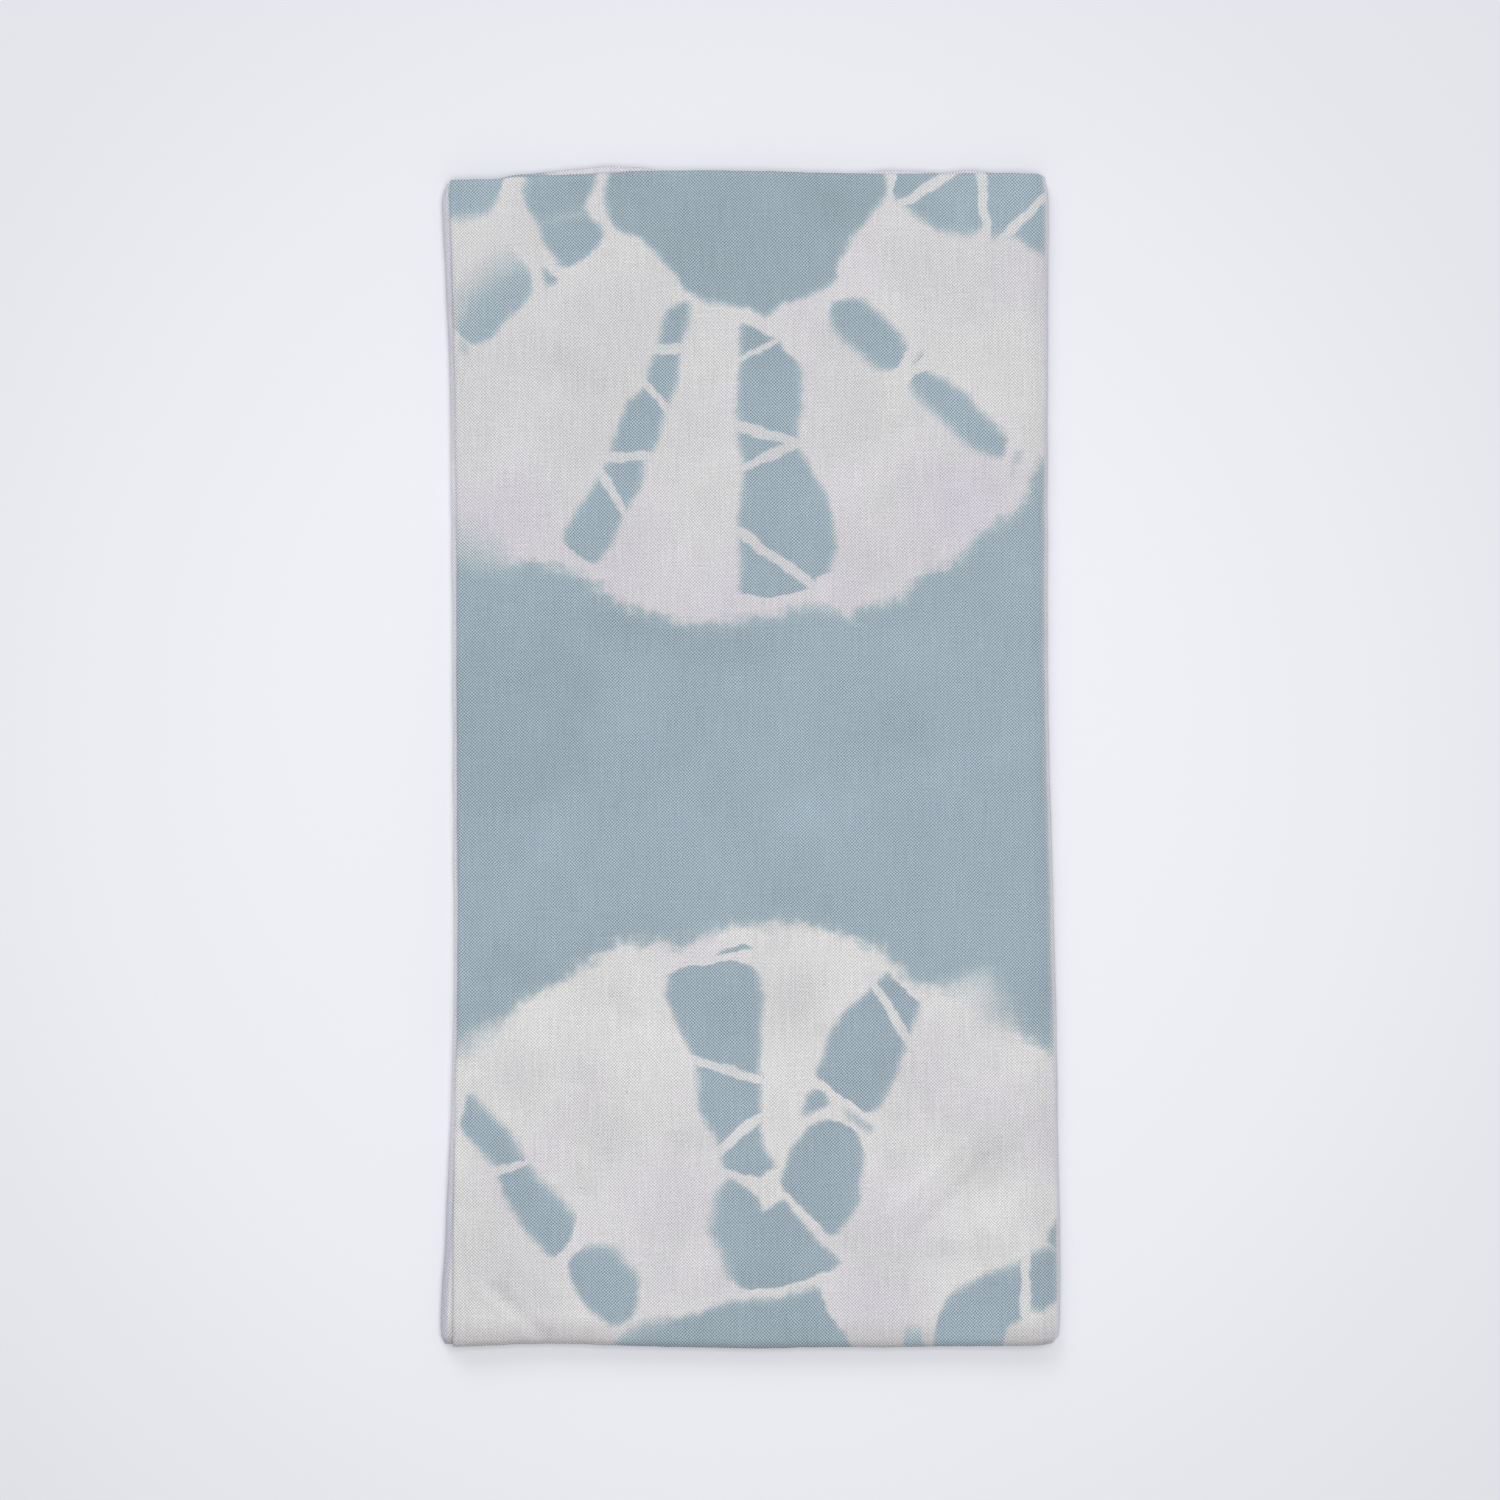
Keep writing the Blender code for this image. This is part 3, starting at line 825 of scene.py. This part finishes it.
cotton = bpy.data.materials.new("dyed_cotton")
cotton.use_nodes = True
tree = cotton.node_tree
shader = tree.nodes["Principled BSDF"]
cloth_place = add_node(tree, "UVMap", uv_map="cloth").outputs[0]
dye = tree.nodes.new("ShaderNodeGroup")
dye.node_tree = dye_group
tree.links.new(cloth_place, dye.inputs["Vector"])
millimetres = dye.outputs["Place"]
weave = tree.nodes.new("ShaderNodeGroup")
weave.node_tree = weave_group
tree.links.new(vector_node(tree, "MULTIPLY", cloth_place, (1000, 1000, 0)), weave.inputs["Place"])
size, start, end, most = LAVENDER_DRIFT
drift = range_node(tree, noise_node(tree, millimetres, size, 2.0), start, end, 0.0, most)
for across, up, radius, share in LAVENDER_PLACES:
    near = spot_node(tree, millimetres, across, up, radius, 0.0, 0.0, share)
    drift = sum_node(tree, "MAXIMUM", drift, near)
# Painted light: the undyed cloth around the lower flower is painted a little paler than around the upper one
cloth_across, cloth_up, _ = add_node(tree, "SeparateXYZ", millimetres).outputs
lower_light_share = range_node(tree, cloth_up, *LOWER_LIGHT_PART)
undyed = mix_node(tree, drift, mix_node(tree, lower_light_share, UNDYED_CREAM, UNDYED_LOWER_PAINTED_LIGHT), UNDYED_LAVENDER)
size, start, end, most = GREY_DRIFT
grey_share = range_node(tree, noise_node(tree, millimetres, size, 2.0), start, end, 0.0, most)
for across, up, radius in GREY_PLACES:
    near = spot_node(tree, millimetres, across, up, radius, 0.0)
    grey_share = sum_node(tree, "MAXIMUM", grey_share, near)
undyed = mix_node(tree, grey_share, undyed, UNDYED_GREY)
# Painted light and shade at the woven edges: the low one is painted greyer and darker, as shade, and the high
# one a little paler, as light
undyed = mix_node(tree, range_node(tree, cloth_up, *LOW_EDGE_SHADE_COLOUR_PART), undyed, LOW_EDGE_PAINTED_SHADE)
low_edge_shade = range_node(tree, cloth_up, *LOW_EDGE_SHADE_PART, LOW_EDGE_SHADE_TONE, 1.0)
high_edge_light = range_node(tree, cloth_up, *HIGH_EDGE_LIGHT_PART, 1.0, HIGH_EDGE_LIGHT_TONE)
edge_light_and_shade = sum_node(tree, "MULTIPLY", low_edge_shade, high_edge_light)
deepness = None
for across, up, radius in DEEP_PLACES:
    near = spot_node(tree, millimetres, across, up, radius, DEEP_SHARE * radius)
    deepness = near if deepness is None else sum_node(tree, "MAXIMUM", deepness, near)
deep = mix_node(tree, deepness, DYE_BLUE, DYE_DEEP)
dyed = mix_node(tree, dye.outputs["Depth"], DYE_EDGE, deep)
# Painted light and shade on the bare folds: the left fold is painted paler than the right one, and painted
# shade darkens it towards its two ends
bare_fold_with_painted_light = add_node(tree, "Attribute", attribute_name="bare_fold_with_painted_light").outputs["Fac"]
fold_low_shade_share = range_node(tree, cloth_up, *FOLD_LOW_SHADE_END)
fold_high_shade_share = range_node(tree, cloth_up, *FOLD_HIGH_SHADE_END, 0.0, FOLD_HIGH_SHADE_SHARE)
left_share = range_node(tree, cloth_across, *LEFT_FOLD_PART)
left_fold_light_and_shade = mix_node(tree, sum_node(tree, "ADD", fold_low_shade_share, fold_high_shade_share), LEFT_FOLD_WITH_PAINTED_LIGHT, LEFT_FOLD_ENDS_PAINTED_SHADE)
fold_painted_light_and_shade = mix_node(tree, left_share, RIGHT_FOLD_WITH_PAINTED_LIGHT, left_fold_light_and_shade)
# The undyed edge of the hidden layer takes the bare folds' colour, painted light and shade included
for across, up, radius in BARE_PLACES:
    near = spot_node(tree, millimetres, across, up, radius, BARE_SHARE * radius)
    undyed = mix_node(tree, near, undyed, fold_painted_light_and_shade)
undyed = mix_node(tree, bare_fold_with_painted_light, undyed, fold_painted_light_and_shade)
mask = sum_node(tree, "MULTIPLY", dye.outputs["Mask"], sum_node(tree, "SUBTRACT", 1.0, bare_fold_with_painted_light))
colour = mix_node(tree, mask, undyed, dyed)
# Threads and blotches change the tone, more so where the cloth is dyed
thread_share = sum_node(tree, "MULTIPLY_ADD", mask, THREAD_TONE_DYED, THREAD_TONE)
tone = sum_node(tree, "MULTIPLY", sum_node(tree, "SUBTRACT", weave.outputs["Tone"], 0.5), thread_share)
streak_tone = sum_node(tree, "SUBTRACT", weave.outputs["Streaks"], 0.5)
streak_tone = sum_node(tree, "MULTIPLY", streak_tone, STREAK_TONE)
cloud = sum_node(tree, "SUBTRACT", noise_node(tree, millimetres, CLOUD_SIZE, 3.0), 0.5)
tone = sum_node(tree, "ADD", tone, sum_node(tree, "MULTIPLY_ADD", cloud, CLOUD_TONE, streak_tone))
# Painted shade from the crease depth: darker in the creases, paler on the ridges
crease_shade = add_node(tree, "Attribute", attribute_name="crease_shade").outputs["Fac"]
tone = sum_node(tree, "ADD", tone, sum_node(tree, "MULTIPLY_ADD", crease_shade, -CREASE_SHADE_TONE, 1.0))
for across, up, radius in FLECKS:
    fleck = spot_node(tree, millimetres, across, up, FLECK_CORE * radius, radius, FLECK_TONE, 1.0)
    tone = sum_node(tree, "MULTIPLY", tone, fleck)
tone = sum_node(tree, "MULTIPLY", tone, edge_light_and_shade)
tree.links.new(mix_node(tree, 1.0, colour, tone, "MULTIPLY"), shader.inputs["Base Color"])
bump = tree.nodes.new("ShaderNodeBump")
bump.inputs["Strength"].default_value = 1.0
bump.inputs["Distance"].default_value = WEAVE_DEPTH
tree.links.new(weave.outputs["Height"], bump.inputs["Height"])
tree.links.new(bump.outputs["Normal"], shader.inputs["Normal"])
shader.inputs["Roughness"].default_value = COTTON_ROUGHNESS
shader.inputs["Specular IOR Level"].default_value = COTTON_SHINE
shader.inputs["Sheen Weight"].default_value = FUZZ
shader.inputs["Sheen Roughness"].default_value = FUZZ_ROUGHNESS
towel.data.materials.append(cotton)
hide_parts("towel")
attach(towel, "root")


# The floor: a plain pale table top under soft light, with a painted pool of light: paler round a spot near
# the middle, and painted darker towards the rim.
FLOOR_SIDE = 4.0
FLOOR_MIDDLE_PAINTED_LIGHT = (0.815, 0.82, 0.865, 1.0)
FLOOR_RIM_PAINTED_SHADE = (0.712, 0.717, 0.762, 1.0)
FLOOR_LIGHT_POOL_MIDDLE = (-0.01, -0.025, 0.0)
FLOOR_LIGHT_POOL_FADE = (0.10, 0.34)
FLOOR_ROUGHNESS = 0.9

bpy.ops.object.select_all(action="DESELECT")
bpy.ops.mesh.primitive_plane_add(size=FLOOR_SIDE, location=(0, 0, 0))
floor = bpy.context.active_object
floor.name = "floor"
paint = bpy.data.materials.new("floor")
paint.use_nodes = True
tree = paint.node_tree
shader = tree.nodes["Principled BSDF"]
table_place = add_node(tree, "TexCoord").outputs["Object"]
# Painted light: the floor's colour fades from a pale spot near the middle to painted shade at the rim
floor_light_pool = vector_node(tree, "DISTANCE", table_place, FLOOR_LIGHT_POOL_MIDDLE)
tone = mix_node(tree, range_node(tree, floor_light_pool, *FLOOR_LIGHT_POOL_FADE), FLOOR_MIDDLE_PAINTED_LIGHT, FLOOR_RIM_PAINTED_SHADE)
tree.links.new(tone, shader.inputs["Base Color"])
shader.inputs["Roughness"].default_value = FLOOR_ROUGHNESS
floor.data.materials.append(paint)

# The light: a broad soft lamp nearly overhead, a lower one beyond the top of the towel, and an even sky.
# place, side, power
LAMPS = (
    ((0.22, -0.03, 2.2), 1.2, 26.0),
    ((-0.40, 1.15, 1.2), 0.8, 5.5),
)
SKY_STRENGTH = 0.45

for lamp_place, lamp_side, power in LAMPS:
    bpy.ops.object.light_add(type="AREA", location=lamp_place)
    lamp = bpy.context.active_object
    lamp.data.size = lamp_side
    lamp.data.energy = power
    lamp.rotation_euler = (-Vector(lamp_place)).to_track_quat("-Z", "Y").to_euler()
world = bpy.data.worlds.new("sky")
bpy.context.scene.world = world
world.use_nodes = True
world.node_tree.nodes["Background"].inputs["Color"].default_value = (1.0, 1.0, 1.0, 1.0)
world.node_tree.nodes["Background"].inputs["Strength"].default_value = SKY_STRENGTH
bpy.context.scene.view_settings.view_transform = "Standard"
